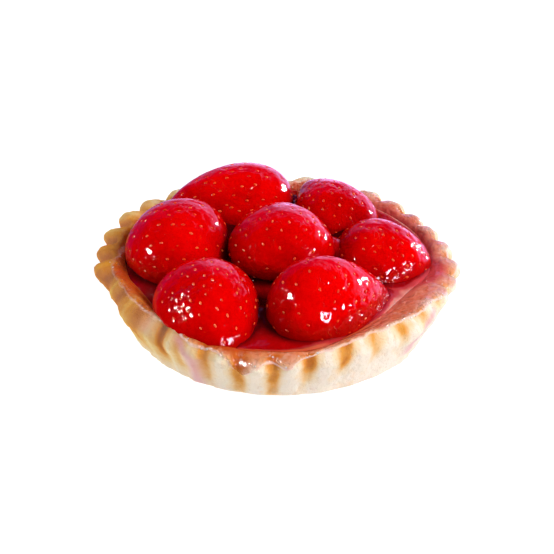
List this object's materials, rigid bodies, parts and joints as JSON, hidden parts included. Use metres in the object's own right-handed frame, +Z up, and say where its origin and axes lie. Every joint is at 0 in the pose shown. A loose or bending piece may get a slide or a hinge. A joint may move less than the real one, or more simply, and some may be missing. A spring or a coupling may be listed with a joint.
{
  "type": "strawberry tart",
  "caption": "Small round tart: fluted shortcrust case filled with red jelly, whole glazed strawberries set in it, one in the middle and the rest in a ring.",
  "frame": {"origin": "on the table, under the middle of the case", "axes": "+Z up from the table, -Y towards the front, where the two largest gaps of jelly show"},
  "size_m": [0.1007, 0.1003, 0.0329],
  "materials": {
    "crust": "baked shortcrust, matt and crumbly, browned in the grooves",
    "jelly": "clear red fruit jelly, wet gloss",
    "strawberry": "ripe strawberry with yellow seeds under a clear glaze, wet gloss"
  },
  "bodies": {
    "root": {"crust": "crust", "jelly": "jelly", "strawberry_middle": "strawberry", "strawberry_left": "strawberry", "strawberry_back_left": "strawberry", "strawberry_back_right": "strawberry", "strawberry_right": "strawberry", "strawberry_front_right": "strawberry", "strawberry_front_left": "strawberry"}
  },
  "joints": []
}
